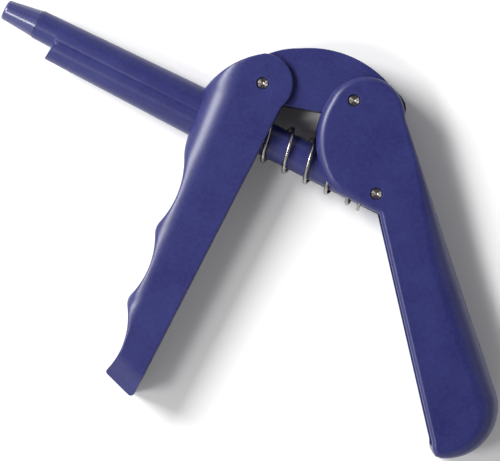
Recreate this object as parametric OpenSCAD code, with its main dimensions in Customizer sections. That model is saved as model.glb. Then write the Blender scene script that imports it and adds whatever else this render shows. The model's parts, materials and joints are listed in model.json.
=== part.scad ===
// Squeeze-handle capsule dispensing gun, lying on its side.
// X runs back along the barrel from the muzzle, Y runs up through the link and Z is the
// thickness. The middle plane of every moulding is Z = 0 and the barrel's axis is the X axis.

/* [Handles] */
// Thickness over the side walls of both handles
body_t = 19; // [18.8:0.1:20]
// Thickness of one side wall
wall_t = 2.2; // [2:0.1:2.3]
// Radius of the rounded outer edge that the hand holds
grip_round = 7.5; // [6:0.5:7.5]
// Depth of the finger grooves
finger_depth = 2.9; // [1:0.1:3.6]
// Radius of the front handle's head
head_r = 9; // [8.9:0.1:9.6]

/* [Pivots] */
// Front pivot, distance behind the muzzle
front_pivot_x = 79.6; // [79:0.1:80]
// Front pivot, height over the barrel's axis
front_pivot_y = 14.2; // [14:0.1:14.6]
// Link pivot, distance behind the muzzle
link_pivot_x = 106.3; // [106:0.1:107]
// Link pivot, height over the barrel's axis
link_pivot_y = 21.9; // [21.5:0.1:22.2]
// Plunger pivot, distance behind the muzzle
plunger_pivot_x = 124.8; // [124.6:0.1:125.4]
// Radius of the three steel pins
pin_r = 1.6; // [1.2:0.1:1.7]

/* [Barrel] */
// Length of the nose sleeve that stands out of the barrel
nose_len = 10.8; // [9:0.1:12]
// Outer radius at the muzzle
muzzle_r = 3.2; // [3.1:0.1:3.8]
// Radius of the hole that the capsule's nozzle passes through
nozzle_bore_r = 2.2; // [1.6:0.1:2.3]
// Barrel's radius at the front
barrel_front_r = 4.6; // [4.5:0.1:5]
// Barrel's radius where it enters the handle
barrel_rear_r = 5.6; // [5.5:0.1:5.8]
// How far the keel hangs under the barrel's axis
keel_drop = 3.9; // [2:0.1:3.9]
// Where the keel starts behind the muzzle
keel_start = 17.8; // [16:0.1:24]

/* [Plunger and spring] */
// Radius of the plunger's thick rear rod
rod_r = 5.2; // [4.6:0.1:5.3]
// Radius of the steel ram
ram_r = 2; // [1.5:0.1:2.2]
// Mean radius of the spring's coil
coil_r = 6.55; // [6.4:0.05:6.6]
// Radius of the spring's wire
wire_r = 0.55; // [0.4:0.05:0.6]
// Turns of the spring
coil_turns = 8; // [6:1:9]

/* [Hidden] */
$fn = 64;

plastic = [0.22, 0.24, 0.47];
steel = [0.75, 0.75, 0.77];

front_pivot = [front_pivot_x, front_pivot_y];
link_pivot = [link_pivot_x, link_pivot_y];
plunger_pivot = [plunger_pivot_x, 0];

// Room inside the handles, and the play that the moving pieces have there
channel_w = body_t - 2 * wall_t;
side_play = 0.2;
inner_t = channel_w - 2 * side_play;
pin_play = 0.05;
plunger_pin_play = 0.85;    // the plunger's eye takes up the swing of the two pivots
pin_inset = 0.4;
recess_r = pin_r + 0.35;
reach = 60;                 // longer than any cut needs

// Stations along the barrel
wall_face = 69;             // inner face of the front handle's front wall
pocket_end = 67.8;          // the barrel's keeled body stops inside that wall
bush_flange_t = 2.5;
spring_front = wall_face + bush_flange_t;
spring_rear = plunger_pivot_x - 2.2;
rod_front = 87.8;
spigot_r = 3.7;
spigot_len = 4.4;
chamber_r = 3.3;
sleeve_r = 4.6;
sleeve_start = 60;
tip_front = 33;

// Point on a circle, and an arc of points from angle a to angle b
function spot(c, r, a) = c + r * [cos(a), sin(a)];
function arc(c, r, a, b, n = 12) = [for (i = [0 : n]) spot(c, r, a + (b - a) * i / n)];

// Arc from p to q that stands out by s to the left of the way from p to q
function bow(p, q, s, n = 12) =
    let (c = norm(q - p),
         r = (c * c / 4 + s * s) / (2 * s),
         u = (q - p) / c,
         v = [-u[1], u[0]],
         o = (p + q) / 2 + v * (s - r),
         h = asin(c / (2 * abs(r))))
    [for (i = [0 : n]) let (t = h * (2 * i / n - 1)) o + abs(r) * (u * sin(t) + v * cos(t) * sign(s))];

// ---- Outline of the front handle, seen along Z ----
finger_peaks = [[67.5, -14.5], [70.3, -38.6], [72.4, -61.6], [76.3, -83.7]];
handle_foot = [[77.1, -84.4], [86.0, -87.2], [87.1, -86.3]];
throat = [64.6, 5.3];
chin = [66.4, -9.5];
finger_grooves = [for (i = [0 : 2]) each bow(finger_peaks[i], finger_peaks[i + 1], finger_depth)];
brow_angle = 113;
front_outline = concat(handle_foot, arc(front_pivot, head_r, -25, brow_angle, 20),
                       bow(spot(front_pivot, head_r, brow_angle), throat, -1.95, 8), [chin], finger_grooves);

// Line along the finger peaks, and how it leans
grip_top = [66.9, -14.4];
grip_lean = 7.1;
function grip_line(y) = grip_top[0] + (grip_top[1] - y) * tan(grip_lean);
front_wall_t = 6.5;
hub_room_r = 7;
link_stop_angle = 143;
front_channel = concat([[100, -82], [grip_line(-82) + front_wall_t, -82],
                        [grip_line(-12) + front_wall_t, -12], [wall_face, -9], [wall_face, 7.6]],
                       arc(front_pivot, hub_room_r, 205, link_stop_angle, 6),
                       [spot(front_pivot, 20, link_stop_angle), [100, 40]]);

// ---- Outline of the bridge link ----
arch_centre = [101.5, 1.4];
arch_r = 32;
hub_r = 5.15;
link_angle = atan2(link_pivot_y - front_pivot_y, link_pivot_x - front_pivot_x);
tail = [[122, 24], [121.8, 25.2], [121.3, 26.9], [120.3, 28.2], [118.4, 29.4], [116.5, 30.15]];
brow = [76.3, 22.1];
link_outline = concat(arc(front_pivot, hub_r, 165, 270 + link_angle, 12),
                      [spot(link_pivot, hub_r, 270 + link_angle)], tail,
                      arc(arch_centre, arch_r, 65, 121.5, 22),
                      bow(spot(arch_centre, arch_r, 121.5), brow, -0.6, 6));

// ---- Outline of the rear handle ----
back_start = [122.6, 23.8];
back_end = [184.5, -37.8];
palm_corner = [128.3, -4.9];
toe = [[172.9, -58.6], [174.2, -60.9], [175.9, -62.2]];
foot_centre = [172.3, -47.3];
foot_r = 15.6;
knuckle_c = [111.2, 19.2];
knuckle_r = 12;
knuckle_side = spot(knuckle_c, knuckle_r, 180);
rear_outline = concat([back_start], arc(knuckle_c, knuckle_r, 30, 180, 20),
                      bow(knuckle_side, [110.7, -4], -3.8, 10), [[113.9, -5], palm_corner], toe,
                      arc(foot_centre, foot_r, -70, 38, 12), [back_end]);

back_wall_t = 4.5;
back_in = back_wall_t / sqrt(2);
foot_wall_t = 2.8;
rear_channel = concat([[140, 32.5], [118, 21.6], back_end - [back_in + 5.5, back_in - 5.4]],
                      arc(foot_centre, foot_r - foot_wall_t, 62, -105, 14),
                      [[150, -70], [90, -20], [90, 50], [140, 50]]);
back_round_top = [127.7, 29];
back_round_lean = 40;

// ---- Common shapes ----
// Solid of revolution between two stations on the barrel's axis, with a radius at each
module turned(x0, x1, r0, r1) {
    translate([x0, 0, 0]) rotate([0, 90, 0]) cylinder(h = x1 - x0, r1 = r0, r2 = r1);
}

module rod(x0, x1, r) { turned(x0, x1, r, r); }

// Slab with an outline in X and Y, centred on the middle plane
module slab(outline, t) { linear_extrude(t, center = true) polygon(outline); }

// Round solid or hole across the thickness
module cross_pin(at, r, t) { translate([at[0], at[1], 0]) cylinder(h = t, r = r, center = true); }

// Hole for a pin through both side walls, with a shallow recess at each end
module pin_seat(at) {
    cross_pin(at, pin_r, reach);
    for (side = [-1, 1])
        translate([at[0], at[1], side * (body_t / 2 - pin_inset + 5)]) cylinder(h = 10, r = recess_r, center = true);
}

module steel_pin(at) { color(steel) cross_pin(at, pin_r, body_t - 2 * pin_inset); }

// Block as thick as the handles, rounded on the two edges of its near side.
// It runs down from the point at, turned by angle.
module rounded_block(at, angle, depth, length) {
    half = body_t / 2;
    translate([at[0], at[1], 0]) rotate([0, 0, angle]) rotate([90, 0, 0])
        translate([0, 0, -length / 2]) linear_extrude(length) {
            translate([grip_round, -half]) square([depth - grip_round, body_t]);
            translate([0, grip_round - half]) square([depth, body_t - 2 * grip_round]);
            for (side = [-1, 1]) translate([grip_round, side * (half - grip_round)]) circle(grip_round);
        }
}

// ---- The pieces ----
// Tapered tube with a round keel under it, which meet at a shallow waist on each side
module barrel_body() {
    for (drop = [0, keel_drop])
        translate([0, -drop, 0]) turned(keel_start, pocket_end, barrel_front_r, barrel_rear_r);
}

module front_handle() {
    color(plastic) difference() {
        intersection() {
            slab(front_outline, body_t);
            rounded_block(grip_top, grip_lean, 45, 240);
        }
        slab(front_channel, channel_w);
        barrel_body();
        rod(pocket_end - 1, wall_face + 1, barrel_rear_r);
        pin_seat(front_pivot);
    }
}

module barrel() {
    color(plastic) difference() {
        union() {
            barrel_body();
            turned(nose_len, keel_start + 1, barrel_front_r - 0.3, barrel_front_r);
            rod(pocket_end - 1, wall_face, barrel_rear_r);
        }
        rod(nose_len - 1, nose_len + spigot_len, spigot_r);
        rod(nose_len, wall_face, chamber_r);
        rod(sleeve_start, wall_face + 1, sleeve_r);
    }
}

module nose_sleeve() {
    lip = 1.1;
    tip_sag = 0.45;
    color(plastic) difference() {
        union() {
            hull() {
                turned(nose_len - 0.5, nose_len, barrel_front_r - 0.35, barrel_front_r - 0.3, $fn = 32);
                translate([0, -tip_sag, 0]) turned(lip, lip + 0.5, muzzle_r, muzzle_r, $fn = 32);
                translate([0, -tip_sag, 0]) turned(0, lip, muzzle_r - 0.7, muzzle_r, $fn = 32);
            }
            rod(nose_len - 1, nose_len + spigot_len, spigot_r);
        }
        rod(-1, 7, nozzle_bore_r);
        rod(6.5, nose_len + spigot_len + 1, spigot_r - 0.8);
    }
}

module guide_bush() {
    color(plastic) difference() {
        union() {
            rod(sleeve_start, wall_face + 1, sleeve_r);
            rod(wall_face, spring_front, coil_r + wire_r - 0.1);
        }
        rod(sleeve_start - 1, spring_front + 1, ram_r + pin_play);
    }
}

module front_pivot_pin() { steel_pin(front_pivot); }

module bridge_link() {
    color(plastic) difference() {
        slab(link_outline, inner_t);
        cross_pin(front_pivot, pin_r + pin_play, reach);
        cross_pin(link_pivot, pin_r + pin_play, reach);
    }
}

module rear_handle() {
    color(plastic) difference() {
        intersection() {
            slab(rear_outline, body_t);
            translate([back_round_top[0], back_round_top[1], 0]) rotate([0, 0, back_round_lean])
                mirror([1, 0, 0]) rounded_block([0, 0], 0, 75, 240);
        }
        slab(rear_channel, channel_w);
        pin_seat(link_pivot);
        pin_seat(plunger_pivot);
    }
}

module link_pivot_pin() { steel_pin(link_pivot); }

module plunger_pin() { steel_pin(plunger_pivot); }

// Thick rod that the spring sits on, with a flat-sided eye for the plunger pin
module plunger_rod() {
    eye_len = 7.8;
    ram_depth = 10;
    color(plastic) difference() {
        union() {
            rod(rod_front, spring_rear + 1, rod_r);
            intersection() {
                rod(spring_rear, spring_rear + eye_len, coil_r + wire_r - 0.2);
                translate([spring_rear - 1, -4.7, -reach / 2]) cube([eye_len + 2, 10.2, reach]);
            }
        }
        rod(rod_front - 1, rod_front + ram_depth, ram_r);
        cross_pin(plunger_pivot, pin_r + plunger_pin_play, reach);
    }
}

module ram_rod() { color(steel) rod(tip_front + 3, rod_front + 10, ram_r); }

module ram_tip() {
    color(plastic) difference() {
        rod(tip_front, tip_front + 8, chamber_r - 0.15);
        rod(tip_front + 3, tip_front + 9, ram_r);
    }
}

// Round wire wound from the rear seat to the front one, with a closed turn at each end
sides = 8;
steps = 20;
coil_close = 3.4;
coil_pitch = (spring_rear - spring_front - 2 * wire_r + 2 * coil_close) / coil_turns;
function coil_x(t) = spring_rear - wire_r - coil_pitch * t
    + coil_close * (min(t, 1) + max(t - coil_turns + 1, 0));
function coil_point(t, k) =
    let (a = 360 * t - 90,
         w = 360 * k / sides,
         r = coil_r + wire_r * cos(w))
    [coil_x(t) + wire_r * sin(w), r * sin(a), r * cos(a)];

module return_spring() {
    rings = coil_turns * steps;
    points = [for (i = [0 : rings]) for (k = [0 : sides - 1]) coil_point(i / steps, k)];
    skin = [for (i = [0 : rings - 1]) for (k = [0 : sides - 1])
        let (a = i * sides + k, b = i * sides + (k + 1) % sides)
        each [[a, b, b + sides], [a, b + sides, a + sides]]];
    ends = [[for (k = [sides - 1 : -1 : 0]) k], [for (k = [0 : sides - 1]) rings * sides + k]];
    color(steel) polyhedron(points, concat(skin, ends));
}

front_handle();
barrel();
nose_sleeve();
guide_bush();
front_pivot_pin();
bridge_link();
rear_handle();
link_pivot_pin();
plunger_pin();
plunger_rod();
ram_rod();
ram_tip();
return_spring();
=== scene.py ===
"""Squeeze-handle capsule gun lying on its side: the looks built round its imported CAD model."""

import json
from math import asin, cos, exp, hypot, pi, radians, sin, sqrt

import bpy
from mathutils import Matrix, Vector


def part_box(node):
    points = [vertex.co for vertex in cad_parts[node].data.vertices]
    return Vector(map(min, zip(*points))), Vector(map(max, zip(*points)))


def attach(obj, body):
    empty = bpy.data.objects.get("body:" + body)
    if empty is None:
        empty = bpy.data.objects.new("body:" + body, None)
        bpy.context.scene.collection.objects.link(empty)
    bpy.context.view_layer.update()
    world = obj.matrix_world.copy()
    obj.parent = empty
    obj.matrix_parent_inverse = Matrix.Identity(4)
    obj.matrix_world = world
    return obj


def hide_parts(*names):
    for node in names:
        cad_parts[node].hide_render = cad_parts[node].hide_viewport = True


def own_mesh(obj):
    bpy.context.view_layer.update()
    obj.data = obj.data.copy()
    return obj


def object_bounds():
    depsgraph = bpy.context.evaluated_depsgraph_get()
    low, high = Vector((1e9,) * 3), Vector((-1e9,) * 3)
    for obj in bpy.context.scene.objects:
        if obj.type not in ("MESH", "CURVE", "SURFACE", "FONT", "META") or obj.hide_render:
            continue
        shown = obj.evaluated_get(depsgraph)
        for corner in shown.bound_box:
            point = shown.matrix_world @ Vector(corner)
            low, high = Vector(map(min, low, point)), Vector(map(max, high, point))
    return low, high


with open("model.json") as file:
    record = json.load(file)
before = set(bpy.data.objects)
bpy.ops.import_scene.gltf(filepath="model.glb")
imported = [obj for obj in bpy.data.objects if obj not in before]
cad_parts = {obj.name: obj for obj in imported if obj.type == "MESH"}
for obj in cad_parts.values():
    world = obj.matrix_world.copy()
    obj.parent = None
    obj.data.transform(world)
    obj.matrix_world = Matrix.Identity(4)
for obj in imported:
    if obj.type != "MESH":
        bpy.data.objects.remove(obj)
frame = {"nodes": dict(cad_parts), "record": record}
cad_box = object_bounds()


# ---- Barrel --------------------------------------------------------------------------
# A tapered tube with a rounded keel under it, injection moulded in matte blue plastic.
# Its rear end is pressed into the front handle's wall, and its bore takes the capsule.

MM = 0.001


def box_mm(node):
    """Lowest and highest corner of a CAD node, in millimetres."""
    low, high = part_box(node)
    return Vector(low) / MM, Vector(high) / MM


def only(piece):
    """Selects the piece alone and makes it active."""
    bpy.ops.object.select_all(action="DESELECT")
    piece.select_set(True)
    bpy.context.view_layer.objects.active = piece


def loft(name, rings):
    """Skin through a row of rings that have as many points each, closed flat at both ends."""
    count = len(rings[0])
    bpy.ops.object.select_all(action="DESELECT")
    bpy.ops.mesh.primitive_grid_add(x_subdivisions=count, y_subdivisions=len(rings) - 1, size=1)
    piece = bpy.context.object
    piece.name = name
    for number, vertex in enumerate(piece.data.vertices):
        row, column = divmod(number, count + 1)
        vertex.co = Vector(rings[row][column % count]) * MM
    bpy.ops.object.mode_set(mode="EDIT")
    bpy.ops.mesh.select_all(action="SELECT")
    bpy.ops.mesh.remove_doubles(threshold=0.002 * MM)
    bpy.ops.mesh.fill_holes(sides=0)
    bpy.ops.mesh.select_all(action="SELECT")
    bpy.ops.mesh.normals_make_consistent(inside=False)
    bpy.ops.object.mode_set(mode="OBJECT")
    return piece


def modify(piece, kind, **settings):
    """Adds a modifier with those settings and applies it."""
    only(piece)
    modifier = piece.modifiers.new(kind.title(), kind)
    for setting, value in settings.items():
        setattr(modifier, setting, value)
    bpy.ops.object.modifier_apply(modifier=modifier.name)


def cut(piece, *cutters):
    """Takes the cutters' shapes away from the piece."""
    for cutter in cutters:
        modify(piece, "BOOLEAN", operation="DIFFERENCE", solver="EXACT", object=cutter)
        bpy.data.objects.remove(cutter)


def turned(name, profile, centre=(0, 0), along="X", steps=64):
    """Solid of revolution. The profile's points are (station along the axis, radius)."""
    rings = []
    for station, radius in profile:
        ring = []
        for i in range(steps):
            side = centre[0] + radius * cos(2 * pi * i / steps)
            up = centre[1] + radius * sin(2 * pi * i / steps)
            ring.append((station, side, up) if along == "X" else (side, up, station))
        rings.append(ring)
    return loft(name, rings)


def smooth(piece, angle=32):
    """Smooth shading that keeps flat faces flat and real edges sharp."""
    only(piece)
    bpy.ops.object.shade_smooth_by_angle(angle=radians(angle))
    modify(piece, "WEIGHTED_NORMAL", mode="FACE_AREA", keep_sharp=True)


def node_group(name, outputs, inputs=()):
    """Empty shader node group with float inputs and outputs, and its input and output nodes."""
    group = bpy.data.node_groups.new(name, "ShaderNodeTree")
    for socket, value in inputs:
        entry = group.interface.new_socket(socket, in_out="INPUT", socket_type="NodeSocketFloat")
        entry.default_value = value
    for socket in outputs:
        group.interface.new_socket(socket, in_out="OUTPUT", socket_type="NodeSocketFloat")
    return group, group.nodes.new("NodeGroupInput"), group.nodes.new("NodeGroupOutput")


def noise(tree, scale, detail, roughness=0.5):
    """Noise texture on the piece's own object coordinates."""
    coordinates = tree.nodes.new("ShaderNodeTexCoord")
    texture = tree.nodes.new("ShaderNodeTexNoise")
    texture.inputs["Scale"].default_value = scale
    texture.inputs["Detail"].default_value = detail
    texture.inputs["Roughness"].default_value = roughness
    tree.links.new(coordinates.outputs["Object"], texture.inputs["Vector"])
    return texture


def math_node(tree, operation, first, second):
    """Math node whose inputs are sockets or plain numbers. Gives its output socket."""
    node = tree.nodes.new("ShaderNodeMath")
    node.operation = operation
    for socket, value in zip(node.inputs, (first, second)):
        if isinstance(value, (int, float)):
            socket.default_value = value
        else:
            tree.links.new(value, socket)
    return node.outputs[0]


def ranged(tree, value, low, high, from_low=0.3, from_high=0.7):
    """Map Range node from the middle of a noise to low and high. Gives its output socket."""
    node = tree.nodes.new("ShaderNodeMapRange")
    node.inputs["From Min"].default_value = from_low
    node.inputs["From Max"].default_value = from_high
    node.inputs["To Min"].default_value = low
    node.inputs["To Max"].default_value = high
    tree.links.new(value, node.inputs["Value"])
    return node.outputs["Result"]


def moulded_grain():
    """Group for moulded plastic: soft flow clouds, millimetre mottle and fine spark-eroded grain."""
    group, _, out = node_group("moulded_grain", ("Tone", "Height", "Dull"))
    clouds = noise(group, 90, 2).outputs["Fac"]
    mottle = noise(group, 1100, 3, 0.6).outputs["Fac"]
    grain = noise(group, 3800, 4, 0.65).outputs["Fac"]
    cloud_tone = math_node(group, "MULTIPLY", clouds, 0.45)
    mottle_tone = math_node(group, "MULTIPLY", mottle, 0.55)
    tone = math_node(group, "ADD", cloud_tone, mottle_tone)
    mottle_height = math_node(group, "MULTIPLY", mottle, 0.4)
    grain_height = math_node(group, "MULTIPLY", grain, 0.6)
    height = math_node(group, "ADD", mottle_height, grain_height)
    group.links.new(tone, out.inputs["Tone"])
    group.links.new(height, out.inputs["Height"])
    group.links.new(grain, out.inputs["Dull"])
    return group


def edge_wear():
    """Group that finds worn edges: where a small rounded normal leaves the true one."""
    group, given, out = node_group("edge_wear", ("Edge",), (("Width", 0.4 * MM),))
    rounded = group.nodes.new("ShaderNodeBevel")
    rounded.samples = 4
    group.links.new(given.outputs["Width"], rounded.inputs["Radius"])
    geometry = group.nodes.new("ShaderNodeNewGeometry")
    likeness = group.nodes.new("ShaderNodeVectorMath")
    likeness.operation = "DOT_PRODUCT"
    group.links.new(rounded.outputs["Normal"], likeness.inputs[0])
    group.links.new(geometry.outputs["Normal"], likeness.inputs[1])
    group.links.new(ranged(group, likeness.outputs["Value"], 1, 0, 0.75, 0.99), out.inputs["Edge"])
    return group


GRAIN = moulded_grain()
WEAR = edge_wear()


def plastic(name, dark, light, worn, dull, grain_depth, sheen):
    """Moulded plastic: its tone drifts between dark and light, and its edges are polished paler."""
    material = bpy.data.materials.new(name)
    material.use_nodes = True
    tree = material.node_tree
    shader = tree.nodes["Principled BSDF"]
    grain = tree.nodes.new("ShaderNodeGroup")
    grain.node_tree = GRAIN
    wear = tree.nodes.new("ShaderNodeGroup")
    wear.node_tree = WEAR
    tone = tree.nodes.new("ShaderNodeMix")
    tone.data_type = "RGBA"
    tone.inputs["A"].default_value = (*dark, 1)
    tone.inputs["B"].default_value = (*light, 1)
    tree.links.new(ranged(tree, grain.outputs["Tone"], 0, 1, 0.36, 0.64), tone.inputs["Factor"])
    edge = tree.nodes.new("ShaderNodeMix")
    edge.data_type = "RGBA"
    edge.inputs["B"].default_value = (*worn, 1)
    edge_share = math_node(tree, "MULTIPLY", wear.outputs["Edge"], 0.35)
    tree.links.new(edge_share, edge.inputs["Factor"])
    tree.links.new(tone.outputs["Result"], edge.inputs["A"])
    tree.links.new(edge.outputs["Result"], shader.inputs["Base Color"])
    roughness = ranged(tree, grain.outputs["Dull"], dull - 0.05, dull + 0.05)
    tree.links.new(roughness, shader.inputs["Roughness"])
    bump = tree.nodes.new("ShaderNodeBump")
    bump.inputs["Strength"].default_value = 1.0
    bump.inputs["Distance"].default_value = grain_depth * MM
    tree.links.new(grain.outputs["Height"], bump.inputs["Height"])
    tree.links.new(bump.outputs["Normal"], shader.inputs["Normal"])
    shader.inputs["IOR"].default_value = 1.49
    shader.inputs["Specular IOR Level"].default_value = sheen
    return material


blue_plastic = plastic("blue_plastic", dark=(0.017, 0.017, 0.098), light=(0.026, 0.030, 0.130),
                       worn=(0.050, 0.060, 0.180), dull=0.34, grain_depth=0.03, sheen=0.42)

half = box_mm("front_handle")[1].z
barrel_low, barrel_high = box_mm("barrel")
nose_end = barrel_low.x
rear_r = barrel_high.y
front_r = 4.6
keel_drop = -barrel_low.y - rear_r
keel_start = 17.8
keel_end = barrel_high.x - 1.2
keel_slant = 0.2
waist_fill = 0.05
around = 48


def barrel_ring(x, keeled, spare=0.0):
    """Section of the barrel: a circle, or one above another where the keel hangs under it."""
    r = front_r + (rear_r - front_r) * (x - keel_start) / (keel_end - keel_start) + spare
    waist = asin(keel_drop / 2 / r)
    ring = []
    for i in range(around):
        angle = -waist + (pi + 2 * waist) * i / around
        ring.append((x, r * sin(angle), r * cos(angle)))
    for i in range(around):
        if keeled:
            angle = pi - waist + (pi + 2 * waist) * i / around
            drop = keel_drop
        else:
            angle = pi + waist + (pi - 2 * waist) * i / around
            drop = 0
        y = r * sin(angle) - drop
        lean = keel_slant * (y + keel_drop + r / 2) if keeled and x == keel_start else 0
        ring.append((x + lean, y, r * cos(angle)))
    if not keeled:
        return ring
    return [(px, py, pz * (1 + waist_fill * exp(-(py + keel_drop / 2) ** 2))) for px, py, pz in ring]


def barrel_skin(name, stations, spare=0.0, front=()):
    """Barrel body through those stations, after the rings of its round front, if it has one."""
    return loft(name, list(front) + [barrel_ring(x, True, spare) for x in stations])


front_edge = 0.15
front_shrink = 0.965
tube_edge = 0.22
bore_r = 3.3
seat_r = 3.7
seat_depth = 4.4
body_steps = 24
mouth_ring = [(x, y * front_shrink, z * front_shrink) for x, y, z in barrel_ring(nose_end, False)]
round_front = [mouth_ring]
round_front += [barrel_ring(x, False) for x in (nose_end + front_edge, 12, 14, 16, keel_start)]
body_stations = [keel_start + (keel_end - keel_start) * i / body_steps for i in range(body_steps + 1)]
barrel = barrel_skin("barrel_tube", body_stations, front=round_front)
modify(barrel, "BEVEL", width=tube_edge * MM, segments=2, limit_method="ANGLE", angle_limit=radians(50))
cut(barrel, turned("bore", [(nose_end - 1, bore_r), (barrel_high.x + 1, bore_r)]),
    turned("seat", [(nose_end - 2, seat_r), (nose_end + seat_depth, seat_r)]))
smooth(barrel)
barrel.data.materials.append(blue_plastic)
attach(barrel, "frame")
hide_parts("barrel")


# ---- Nose sleeve ---------------------------------------------------------------------
# A smooth tapered tip in the same plastic, polished where the grained barrel is matte.
# A spigot holds it in the barrel's front end. Its mouth lets the capsule's nozzle out.

nose_plastic = plastic("nose_plastic", dark=(0.024, 0.025, 0.115), light=(0.034, 0.037, 0.145),
                       worn=(0.070, 0.080, 0.210), dull=0.26, grain_depth=0.006, sheen=0.8)

mouth = frame["record"]["mounts"][0]["dims"]
mouth_r = mouth["r_mm"]
muzzle_r = 3.2
muzzle_steepness = 0.4
nose_rear_r = front_r - 0.32
lip = 1.1
tip_sag = 0.45
rim_round = 0.35
shoulder_edge = 0.15
fit_gap = 0.02
spigot_r = seat_r - fit_gap
capsule_r = 2.9
spigot_end = box_mm("nose_sleeve")[1].x


def quarter(station, radius, size_x, size_r, start, stop, steps):
    """Rounded corner of a profile: an arc of an ellipse from angle start to angle stop."""
    turns = [radians(start + (stop - start) * i / steps) for i in range(steps + 1)]
    return [(station + size_x * cos(turn), radius + size_r * sin(turn)) for turn in turns]


taper = (nose_rear_r - muzzle_r) / (nose_end - lip)
nose_profile = [(mouth["length_mm"], mouth_r)]
nose_profile += quarter(rim_round, mouth_r + rim_round, rim_round, rim_round, 270, 180, 4)
nose_profile += quarter(lip, muzzle_r - lip + muzzle_steepness, lip, lip - muzzle_steepness, 180, 97, 8)
nose_profile += [(x, muzzle_r + taper * (x - lip)) for x in (2, 4, 6, 8)]
nose_profile += [(nose_end - shoulder_edge, nose_rear_r), (nose_end, nose_rear_r - shoulder_edge)]
nose_profile += [(nose_end, spigot_r), (spigot_end - 0.3, spigot_r), (spigot_end, spigot_r - 0.28)]
nose_profile += [(spigot_end, capsule_r), (mouth["length_mm"] + 0.5, capsule_r)]
sleeve = turned("nose_tip", nose_profile + nose_profile[:1], steps=72)
for vertex in sleeve.data.vertices:
    vertex.co.y -= tip_sag * MM * max(0, 1 - vertex.co.x / (nose_end * MM))
smooth(sleeve)
sleeve.data.materials.append(nose_plastic)
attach(sleeve, "frame")
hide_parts("nose_sleeve")


# ---- Front handle --------------------------------------------------------------------
# One moulding: a channel open to the rear, whose front edge is fully round at the top and has
# three finger grooves. Its head straddles the link, and the barrel goes through its wall.

front_pin_low, front_pin_high = box_mm("front_pivot_pin")
front_pivot = ((front_pin_low + front_pin_high) / 2).xy
link_high = box_mm("bridge_link")[1]
side_play = 0.2
channel_half = link_high.z + side_play
finger_depth = 2.9
head_r = 9
edge_round = 0.5
throat_round = 9.5
foot_round = 2.9
crest_rise = 0.3


def spot(centre, radius, angle):
    """Point on a circle."""
    return (centre[0] + radius * cos(radians(angle)), centre[1] + radius * sin(radians(angle)))


def arc(centre, radius, start, stop, steps=24):
    """Points along a circle from one angle to another."""
    return [spot(centre, radius, start + (stop - start) * i / steps) for i in range(steps + 1)]


def bow(begin, end, stand, steps=20):
    """Arc from begin to end that stands out by stand to the left of the way between them."""
    begin, end = Vector(begin), Vector(end)
    chord = (end - begin).length
    way = (end - begin) / chord
    left = Vector((-way.y, way.x))
    radius = (chord * chord / 4 + stand * stand) / (2 * stand)
    centre = (begin + end) / 2 + left * (stand - radius)
    sweep = asin(chord / (2 * abs(radius)))
    points = []
    for i in range(steps + 1):
        turn = sweep * (2 * i / steps - 1)
        out = left * (cos(turn) if stand > 0 else -cos(turn))
        points.append(tuple(centre + abs(radius) * (way * sin(turn) + out)))
    return points


def evened(outline, step=1.1):
    """The closed outline with points added along its straights, none further apart than step."""
    fine = []
    for here, there in zip(outline, outline[1:] + outline[:1]):
        gap = hypot(there[0] - here[0], there[1] - here[1])
        parts = max(1, round(gap / step)) if gap > 0.05 else 0
        fine += [tuple(a + (b - a) * i / parts for a, b in zip(here, there)) for i in range(parts)]
    return fine


def inward(outline, reach=2):
    """Directions into the outline at its points, softened over a few neighbours."""
    count = len(outline)
    directions = []
    for i in range(count):
        before, after = outline[i - reach], outline[(i + reach) % count]
        along = (Vector(after[:2]) - Vector(before[:2])).normalized()
        directions.append(Vector((-along.y, along.x)))
    return directions


def moulding(name, outline, edges, top, rings=10):
    """Slab with rounded edges. Each point's edge is (direction in, how far in, how far down)."""
    rows = []
    for ring in range(-rings - 1, rings + 2):
        turn = pi / 2 * (rings + 1 - abs(ring)) / rings
        row = []
        for (x, y, *_), (into, inset, drop) in zip(outline, edges):
            run = inset * (1 - sin(turn))
            height = top - drop * (1 - cos(turn))
            row.append((x + into.x * run, y + into.y * run, height if ring > 0 else -height))
        rows.append(row)
    return loft(name, [row for number, row in enumerate(rows) if number != rings + 1])


finger_peaks = [(67.5, -14.5), (69.9, -38.7), (72.0, -61.8), (76.3, -83.7)]
crest_reach = 2
throat = (64.6, 5.3)
chin = (66.4, -9.5)
brow_angle = 113
brow_sag = -1.95
foot_front = (77.4, -83.4)
foot_front_r = 1.0
foot_back = (85.8, -85.9)
foot_back_r = 1.2
foot_normal = 253
slope_start = Vector((82, -77.4))
slope_way = Vector((-0.34, -0.94))
slope_rate = 0.24
slope_ease = 4
slope_reach = 16
grip_top = (66.9, -14.4)
grip_lean = radians(7.1)
grip_in = Vector((cos(grip_lean), sin(grip_lean)))


def eased(before, corner, after, steps=6):
    """Smooth curve that cuts the corner between two points."""
    before, corner, after = Vector(before), Vector(corner), Vector(after)
    shares = [i / steps for i in range(1, steps)]
    return [tuple(before * (1 - t) ** 2 + corner * 2 * t * (1 - t) + after * t ** 2) for t in shares]


grooves = [tuple((Vector(chin) + Vector(finger_peaks[0])) / 2)]
for upper, lower in zip(finger_peaks, finger_peaks[1:]):
    groove = bow(upper, lower, finger_depth)[crest_reach:-crest_reach]
    grooves += eased(grooves[-1], upper, groove[0]) + groove
front_outline = arc(front_pivot, head_r, -25, brow_angle, 30)
front_outline += bow(spot(front_pivot, head_r, brow_angle), throat, brow_sag) + [chin] + grooves
front_outline += arc(foot_front, foot_front_r, 165, foot_normal, 6)
front_outline += arc(foot_back, foot_back_r, foot_normal, 358, 8)
front_outline = evened(front_outline)


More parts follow.
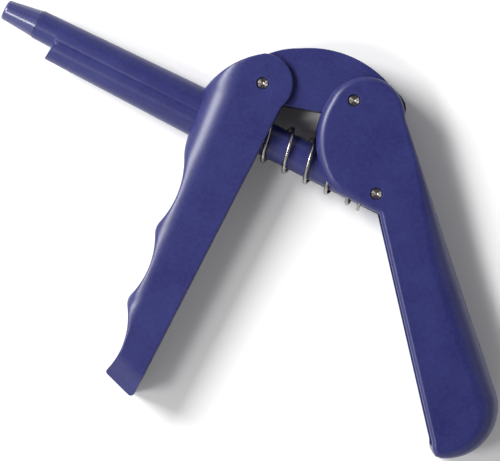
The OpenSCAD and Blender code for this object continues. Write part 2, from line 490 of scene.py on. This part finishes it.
def front_edges(outline):
    """A straight rounding under the fingers, which shrinks towards the foot and which the
    grooves and the head cut into, and a small one round the head and down the back."""
    foot_y = finger_peaks[-1][1]
    edges = []
    for (x, y), into in zip(outline, inward(outline)):
        behind = max((Vector((x, y)) - Vector(grip_top)).dot(grip_in) + crest_rise, 0)
        up = min(max((y - foot_y) / (throat[1] - foot_y), 0), 1)
        full = foot_round + (throat_round - foot_round) * up
        left = max(full - behind, 0)
        inset = max(left, edge_round)
        drop = max(full - sqrt(full ** 2 - left ** 2), edge_round)
        share = left / full if y > throat[1] else min(left, 1)
        edges.append(((grip_in * share + into * (1 - share)).normalized(), inset, drop))
    return edges


def slab(name, outline, reach):
    """Flat block with that outline, reach thick to both sides of the middle plane."""
    return loft(name, [[(x, y, height) for x, y in outline] for height in (-reach, reach)])


def pin_seat(centre):
    """Cutters for a pin's hole and for the flared recess round each of its ends."""
    hole_r = 1.6
    recess_r = 1.95
    inset = 0.4
    floor = half - inset - 0.35
    flare = 0.12
    past = 1
    cutters = [turned("pin_hole", [(-half - past, hole_r), (half + past, hole_r)], centre, "Z", 40)]
    for side in (-1, 1):
        profile = [(side * floor, recess_r), (side * (half - flare), recess_r)]
        profile.append((side * (half + past), recess_r + flare + past))
        cutters.append(turned("recess", profile, centre, "Z", 40))
    return cutters


def foot_cutter(side):
    """Cutter for the slope that eases out of one side face towards the foot."""
    level = Vector((-slope_way.y, slope_way.x))
    outside = -3
    steps = range(-1, slope_ease + 1)
    profile = [(step, slope_rate * step * abs(step) / (2 * slope_ease)) for step in steps]
    profile.append((slope_reach, slope_rate * (slope_reach - slope_ease / 2)))
    profile += [(slope_reach, outside), (-1, outside)]
    rings = []
    for sideways in (-slope_reach, slope_reach):
        begin = slope_start + level * sideways
        rings.append([(*(begin + slope_way * past), side * (half - depth)) for past, depth in profile])
    return loft("foot_cutter", rings)


front_wall = 6.5
hub_room = 7
wall_face = barrel_high.x
link_stop = 143
channel_foot = -82
channel_bend = -12


def grip_line(y):
    """Where the line along the finger peaks lies at that height."""
    return grip_top[0] + (grip_top[1] - y) * sin(grip_lean) / cos(grip_lean)


front_channel = [(100, channel_foot), (grip_line(channel_foot) + front_wall, channel_foot)]
front_channel += [(grip_line(channel_bend) + front_wall, channel_bend)]
front_channel += [(wall_face, -9), (wall_face, 7.6)] + arc(front_pivot, hub_room, 205, link_stop, 12)
front_channel += [spot(front_pivot, 20, link_stop), (100, 40)]

front_handle = moulding("front_grip", front_outline, front_edges(front_outline), half)
cut(front_handle, foot_cutter(-1), foot_cutter(1), slab("channel", front_channel, channel_half),
    *pin_seat(front_pivot), barrel_skin("socket", [keel_start, keel_end, keel_end + 6], fit_gap))
smooth(front_handle)
front_handle.data.materials.append(blue_plastic)
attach(front_handle, "frame")
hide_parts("front_handle")


# ---- Guide bush ----------------------------------------------------------------------
# A flanged plastic bush pressed into the barrel's rear end. It guides the ram and seats the
# spring, and only its flange shows, inside the front handle's channel.

guide_bush = frame["nodes"]["guide_bush"]
guide_bush.data.materials.clear()
guide_bush.data.materials.append(blue_plastic)


# ---- Bridge link ---------------------------------------------------------------------
# A solid arched link in the same plastic, thinner than the handles so that it swings
# between their side walls. It joins the front handle's head to the rear handle's knuckle.


def softened(node, name, width, segments=3):
    """Copy of a CAD node with its flat faces made whole and its sharp edges rounded."""
    source = frame["nodes"][node]
    piece = bpy.data.objects.new(name, source.data.copy())
    bpy.context.collection.objects.link(piece)
    piece.data.transform(source.matrix_world)
    only(piece)
    bpy.ops.object.mode_set(mode="EDIT")
    bpy.ops.mesh.select_all(action="SELECT")
    bpy.ops.mesh.remove_doubles(threshold=0.002 * MM)
    bpy.ops.mesh.dissolve_limited(angle_limit=radians(0.5))
    bpy.ops.mesh.select_all(action="SELECT")
    bpy.ops.mesh.normals_make_consistent(inside=False)
    bpy.ops.object.mode_set(mode="OBJECT")
    modify(piece, "BEVEL", width=width * MM, segments=segments, limit_method="ANGLE",
           angle_limit=radians(50))
    smooth(piece)
    piece.data.materials.clear()
    return piece


link = softened("bridge_link", "arched_link", 0.8, 4)
link.data.materials.append(blue_plastic)
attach(link, "link")
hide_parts("bridge_link")


# ---- Rear handle ---------------------------------------------------------------------
# One moulding, a channel open to the front. Its knuckle straddles the link and the plunger's
# eye, and its back is rounded more and more towards the heavy round foot in the palm.

link_pin_low, link_pin_high = box_mm("link_pivot_pin")
plunger_pin_low, plunger_pin_high = box_mm("plunger_pin")
link_pivot = ((link_pin_low + link_pin_high) / 2).xy
plunger_pivot = ((plunger_pin_low + plunger_pin_high) / 2).xy

knuckle_centre = (111.2, 19.2)
knuckle_r = 12
knuckle_round = 2.8
back_round = 1.2
palm_round = 1.3
grip_round = 7.5
foot_centre = (172.3, -47.3)
foot_r = 15.6
knuckle_foot = (110.7, -4)
knuckle_sag = -3.8
back_top = Vector((122.6, 23.8))
back_end = Vector((184.5, -37.8))
back_way = (back_end - back_top).normalized()
palm_line = [(128.3, -4.9), (172.9, -58.6), (174.2, -60.9), (175.9, -62.2)]


def with_round(points, first, last=None):
    """Adds an edge rounding to each point, running evenly from first to last."""
    last = first if last is None else last
    count = max(len(points) - 1, 1)
    return [(x, y, first + (last - first) * i / count) for i, (x, y) in enumerate(points)]


def rear_edges(outline):
    """The rounding that each point carries, softened over its neighbours."""
    count = len(outline)
    reach = 4
    edges = []
    for i, into in enumerate(inward(outline)):
        near = [outline[(i + k) % count][2] for k in range(-reach, reach + 1)]
        size = sum(near) / len(near)
        edges.append((into, size, size))
    return edges


knuckle_side = spot(knuckle_centre, knuckle_r, 180)
rear_outline = with_round(arc(knuckle_centre, knuckle_r, 30, 180, 40), back_round, knuckle_round)
rear_outline += with_round(bow(knuckle_side, knuckle_foot, knuckle_sag) + [(113.9, -5)], knuckle_round)
rear_outline += with_round(palm_line, palm_round)
rear_outline += with_round(arc(foot_centre, foot_r, -70, 38, 30), palm_round + 1.2, grip_round)
for distance, size in ((44, grip_round), (26, 4.0), (13, 2.0), (0, back_round)):
    rear_outline.append((*(back_top + back_way * distance), size))
rear_outline = evened(rear_outline)

back_wall = 4.5
foot_wall = 2.8
slot_corner = (118, 21.6)
wall_in = back_wall / sqrt(2)
rear_channel = [(140, 32.5), slot_corner, (back_end.x - wall_in - 5.5, back_end.y - wall_in + 5.4)]
rear_channel += arc(foot_centre, foot_r - foot_wall, 62, -105, 20)
rear_channel += [(150, -70), (90, -20), (90, 50), (140, 50)]

rear_handle = moulding("rear_grip", rear_outline, rear_edges(rear_outline), half)
cut(rear_handle, slab("channel", rear_channel, channel_half),
    *pin_seat(link_pivot), *pin_seat(plunger_pivot))
smooth(rear_handle)
rear_handle.data.materials.append(blue_plastic)
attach(rear_handle, "lever")
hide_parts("rear_handle")


# ---- Pivot pins ----------------------------------------------------------------------
# Three alike steel pins, turned on a lathe and pressed through both side walls. Each end is
# faced slightly hollow, with a small centre mark, and sits just under the plastic.


def steel(name, colour, dull, turned_streak=0.0):
    """Bare steel with fine smears. turned_streak draws highlights out across lathe rings."""
    material = bpy.data.materials.new(name)
    material.use_nodes = True
    tree = material.node_tree
    shader = tree.nodes["Principled BSDF"]
    shader.inputs["Metallic"].default_value = 1.0
    smear = noise(tree, 700, 3, 0.6).outputs["Fac"]
    tone = tree.nodes.new("ShaderNodeMix")
    tone.data_type = "RGBA"
    tone.inputs["A"].default_value = (*(part * 0.72 for part in colour), 1)
    tone.inputs["B"].default_value = (*colour, 1)
    tree.links.new(ranged(tree, smear, 0, 1), tone.inputs["Factor"])
    tree.links.new(tone.outputs["Result"], shader.inputs["Base Color"])
    tree.links.new(ranged(tree, smear, dull + 0.06, dull - 0.06), shader.inputs["Roughness"])
    bump = tree.nodes.new("ShaderNodeBump")
    bump.inputs["Strength"].default_value = 0.5
    bump.inputs["Distance"].default_value = 0.004 * MM
    tree.links.new(noise(tree, 3000, 2).outputs["Fac"], bump.inputs["Height"])
    tree.links.new(bump.outputs["Normal"], shader.inputs["Normal"])
    if turned_streak:
        ring_way = tree.nodes.new("ShaderNodeTangent")
        ring_way.direction_type = "RADIAL"
        ring_way.axis = "Z"
        shader.inputs["Anisotropic"].default_value = turned_streak
        shader.inputs["Anisotropic Rotation"].default_value = 0.25
        tree.links.new(ring_way.outputs["Tangent"], shader.inputs["Tangent"])
    return material


pin_colour = (0.50, 0.46, 0.43)
pin_r = (front_pin_high.x - front_pin_low.x) / 2
pin_end = front_pin_high.z
chamfer = 0.18
face_r = pin_r - chamfer
hollow = 0.06
mark_r = 0.3

for name, body, node, pivot in (
    ("head_pin", "frame", "front_pivot_pin", front_pivot),
    ("knuckle_pin", "lever", "link_pivot_pin", link_pivot),
    ("plunger_eye_pin", "lever", "plunger_pin", plunger_pivot),
):
    floor = pin_end - hollow
    end = [(floor - 0.15, 0.02), (floor - 0.05, mark_r), (floor, mark_r + 0.08),
           (pin_end, face_r - 0.1), (pin_end, face_r), (pin_end - chamfer, pin_r)]
    pin = turned(name, [(-z, r) for z, r in end] + end[::-1], pivot, "Z", 48)
    smooth(pin, 25)
    pin.data.materials.append(steel(name + "_steel", pin_colour, dull=0.3, turned_streak=0.9))
    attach(pin, body)
    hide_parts(node)


# ---- Plunger -------------------------------------------------------------------------
# A thick plastic rod with an eye at its rear end for the plunger pin. A steel ram is fixed
# in its front end, and carries the plastic tip that pushes the capsule's piston.

rod = softened("plunger_rod", "plunger_slug", 0.35)
rod.data.materials.append(blue_plastic)
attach(rod, "plunger")
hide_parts("plunger_rod")

ram = frame["nodes"]["ram_rod"]
ram.data.materials.clear()
ram.data.materials.append(steel("ram_steel", pin_colour, dull=0.22))
ram_tip = frame["nodes"]["ram_tip"]
ram_tip.data.materials.clear()
ram_tip.data.materials.append(blue_plastic)


# ---- Return spring -------------------------------------------------------------------
# Bright drawn steel wire wound into an open coil with a closed turn at each end. It sits on
# the plunger rod, between the bush's flange and the shoulder of the rod's eye.

spring_high = box_mm("return_spring")[1]
wire_r = 0.55
coil_r = spring_high.y - wire_r
coil_turns = 8
coil_close = 3.4
spring_front = box_mm("guide_bush")[1].x
spring_rear = spring_high.x
coil_pitch = (spring_rear - spring_front - 2 * wire_r + 2 * coil_close) / coil_turns
steps_per_turn = 48

wire = bpy.data.curves.new("spring_wire", "CURVE")
wire.dimensions = "3D"
wire.bevel_depth = wire_r * MM
wire.bevel_resolution = 5
wire.use_fill_caps = True
path = wire.splines.new("POLY")
path.points.add(coil_turns * steps_per_turn)
for i, point in enumerate(path.points):
    turns = i / steps_per_turn
    closing = coil_close * (min(turns, 1) + max(turns - coil_turns + 1, 0))
    x = spring_rear - wire_r - coil_pitch * turns + closing
    angle = 2 * pi * turns - pi / 2
    point.co = (x * MM, coil_r * sin(angle) * MM, coil_r * cos(angle) * MM, 1)
spring = bpy.data.objects.new("coil_spring", wire)
bpy.context.collection.objects.link(spring)
only(spring)
bpy.ops.object.convert(target="MESH")
smooth(spring, 60)
spring.data.materials.append(steel("spring_steel", (0.42, 0.40, 0.37), dull=0.26))
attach(spring, "frame")
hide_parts("return_spring")
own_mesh(spring)


# ---- Table, light and camera ---------------------------------------------------------
# The gun lies on a plain pale table. A ring of soft light stands round it, with two stronger
# soft panels at the nose's side and little overhead, so that flat faces stay deep in tone.

low, high = Vector(cad_box[0]), Vector(cad_box[1])
centre = (low + high) / 2

bpy.ops.object.select_all(action="DESELECT")
bpy.ops.mesh.primitive_plane_add(size=6, location=(centre.x, centre.y, low.z))
bpy.ops.object.transform_apply(location=True, rotation=True, scale=True)
table = bpy.context.object
table.name = "table"
table_paper = bpy.data.materials.new("table_paper")
table_paper.use_nodes = True
paper = table_paper.node_tree.nodes["Principled BSDF"]
paper.inputs["Roughness"].default_value = 0.9
paper.inputs["Specular IOR Level"].default_value = 0.1
paper.inputs["Base Color"].default_value = (0.88, 0.88, 0.88, 1)
table.data.materials.append(table_paper)


def panel(name, side, up, height, distance, size, power):
    """Square soft light towards (side, up) in the view, height degrees above the table."""
    heading = right * side + across * up
    way = heading.normalized() * cos(radians(height)) + Vector((0, 0, sin(radians(height))))
    light = bpy.data.lights.new(name, "AREA")
    light.shape = "SQUARE"
    light.size = size
    light.energy = power
    holder = bpy.data.objects.new(name, light)
    bpy.context.collection.objects.link(holder)
    holder.location = centre + way * distance
    holder.rotation_euler = way.to_track_quat("Z", "Y").to_euler()


roll = radians(26.75)
right = Vector((cos(roll), sin(roll), 0))
across = Vector((-sin(roll), cos(roll), 0))
panel("key_panel", side=-0.85, up=0.52, height=43, distance=0.9, size=0.34, power=9.5)
panel("nose_panel", side=-0.96, up=-0.27, height=57, distance=1.0, size=0.2, power=3.0)

world = bpy.data.worlds.new("studio")
bpy.context.scene.world = world
world.use_nodes = True
sky = world.node_tree
backdrop = sky.nodes["Background"]
direction = sky.nodes.new("ShaderNodeTexCoord")
rise = sky.nodes.new("ShaderNodeSeparateXYZ")
sky.links.new(direction.outputs["Generated"], rise.inputs[0])
dome = sky.nodes.new("ShaderNodeValToRGB")
dome.color_ramp.elements[0].position = 0.0
dome.color_ramp.elements[0].color = (0.55, 0.55, 0.55, 1)
dome.color_ramp.elements[1].position = 0.5
dome.color_ramp.elements[1].color = (1.0, 1.0, 1.0, 1)
overhead = dome.color_ramp.elements.new(0.8)
overhead.color = (0.06, 0.06, 0.06, 1)
sky.links.new(rise.outputs["Z"], dome.inputs["Fac"])
sky.links.new(dome.outputs["Color"], backdrop.inputs["Color"])
lit_side = sky.nodes.new("ShaderNodeVectorMath")
lit_side.operation = "DOT_PRODUCT"
lit_side.inputs[1].default_value = -right * 0.8 - across * 0.6
sky.links.new(direction.outputs["Generated"], lit_side.inputs[0])
sky.links.new(ranged(sky, lit_side.outputs["Value"], 0.7, 1.35, -0.8, 0.8), backdrop.inputs["Strength"])

view_width = 0.150
view_distance = 1.0
lens = bpy.data.cameras.new("camera")
lens.sensor_width = 36
lens.lens = lens.sensor_width * view_distance / view_width
lens.clip_start = 0.01
camera = bpy.data.objects.new("camera", lens)
bpy.context.collection.objects.link(camera)
camera.location = (centre.x + 2.0 * MM, centre.y + 0.1 * MM, view_distance + half * MM / 2)
camera.rotation_euler = (0, 0, roll)
bpy.context.scene.camera = camera
bpy.context.scene.view_settings.view_transform = "Standard"
